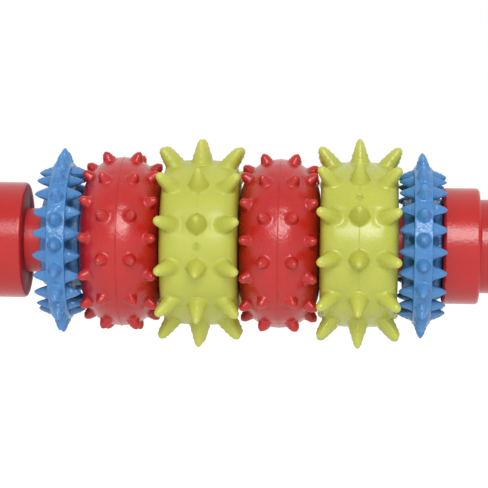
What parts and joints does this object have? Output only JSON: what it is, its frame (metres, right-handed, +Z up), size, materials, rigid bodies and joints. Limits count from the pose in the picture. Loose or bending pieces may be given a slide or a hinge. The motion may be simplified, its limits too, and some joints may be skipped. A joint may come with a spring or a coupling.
{
  "type": "foot massage roller",
  "caption": "Foot massage roller: soft studded rings in blue, red and green turn and slide on a tube between two red hand grips with collars.",
  "frame": {"origin": "on the tube's axis, midway between the two collars, which is the middle of the roller", "axes": "+X along the roller towards the right-hand grip, +Z up, -Y towards the viewer"},
  "size_m": [0.4012, 0.1018, 0.1018],
  "materials": {
    "tube_plastic": "smooth moulded plastic, satin",
    "grip_plastic": "satin moulded plastic with a fine grain",
    "red_vinyl": "soft satin vinyl with a moulding seam",
    "green_vinyl": "soft matt vinyl with a moulding seam",
    "blue_vinyl": "soft glossy vinyl",
    "bush_plastic": "natural moulded plastic",
    "steel": "zinc-plated steel"
  },
  "bodies": {
    "core": {"core_tube": "tube_plastic", "left_handle": "grip_plastic", "left_tube_plug": "tube_plastic", "left_washer": "steel", "left_screw": "steel", "left_end_cap": "grip_plastic", "right_handle": "grip_plastic", "right_tube_plug": "tube_plastic", "right_washer": "steel", "right_screw": "steel", "right_end_cap": "grip_plastic"},
    "left_blue_slider": {"left_blue_bush": "bush_plastic"},
    "left_blue_roller": {"left_blue_ring": "blue_vinyl"},
    "left_red_slider": {"left_red_bush": "bush_plastic"},
    "left_red_roller": {"left_red_ring": "red_vinyl", "left_red_valve": "red_vinyl"},
    "left_green_slider": {"left_green_bush": "bush_plastic"},
    "left_green_roller": {"left_green_ring": "green_vinyl", "left_green_valve": "green_vinyl"},
    "right_red_slider": {"right_red_bush": "bush_plastic"},
    "right_red_roller": {"right_red_ring": "red_vinyl", "right_red_valve": "red_vinyl"},
    "right_green_slider": {"right_green_bush": "bush_plastic"},
    "right_green_roller": {"right_green_ring": "green_vinyl", "right_green_valve": "green_vinyl"},
    "right_blue_slider": {"right_blue_bush": "bush_plastic"},
    "right_blue_roller": {"right_blue_ring": "blue_vinyl"}
  },
  "joints": [
    {"name": "left_blue_float", "type": "slide", "parent": "core", "child": "left_blue_slider", "axis": [1, 0, 0], "range_m": [-0.0078, 0]},
    {"name": "left_blue_spin", "type": "hinge", "parent": "left_blue_slider", "child": "left_blue_roller", "pos_m": [0, 0, 0], "axis": [1, 0, 0], "continuous": true},
    {"name": "left_red_float", "type": "slide", "parent": "core", "child": "left_red_slider", "axis": [1, 0, 0], "range_m": [-0.0078, 0]},
    {"name": "left_red_spin", "type": "hinge", "parent": "left_red_slider", "child": "left_red_roller", "pos_m": [0, 0, 0], "axis": [1, 0, 0], "continuous": true},
    {"name": "left_green_float", "type": "slide", "parent": "core", "child": "left_green_slider", "axis": [1, 0, 0], "range_m": [-0.0078, 0]},
    {"name": "left_green_spin", "type": "hinge", "parent": "left_green_slider", "child": "left_green_roller", "pos_m": [0, 0, 0], "axis": [1, 0, 0], "continuous": true},
    {"name": "right_red_float", "type": "slide", "parent": "core", "child": "right_red_slider", "axis": [1, 0, 0], "range_m": [-0.0078, 0]},
    {"name": "right_red_spin", "type": "hinge", "parent": "right_red_slider", "child": "right_red_roller", "pos_m": [0, 0, 0], "axis": [1, 0, 0], "continuous": true},
    {"name": "right_green_float", "type": "slide", "parent": "core", "child": "right_green_slider", "axis": [1, 0, 0], "range_m": [-0.0078, 0]},
    {"name": "right_green_spin", "type": "hinge", "parent": "right_green_slider", "child": "right_green_roller", "pos_m": [0, 0, 0], "axis": [1, 0, 0], "continuous": true},
    {"name": "right_blue_float", "type": "slide", "parent": "core", "child": "right_blue_slider", "axis": [1, 0, 0], "range_m": [-0.0078, 0]},
    {"name": "right_blue_spin", "type": "hinge", "parent": "right_blue_slider", "child": "right_blue_roller", "pos_m": [0, 0, 0], "axis": [1, 0, 0], "continuous": true}
  ],
  "couplings": [
    {"joint": "left_red_float", "follows": "left_blue_float", "ratio": 1},
    {"joint": "left_green_float", "follows": "left_blue_float", "ratio": 1},
    {"joint": "right_red_float", "follows": "left_blue_float", "ratio": 1},
    {"joint": "right_green_float", "follows": "left_blue_float", "ratio": 1},
    {"joint": "right_blue_float", "follows": "left_blue_float", "ratio": 1}
  ]
}
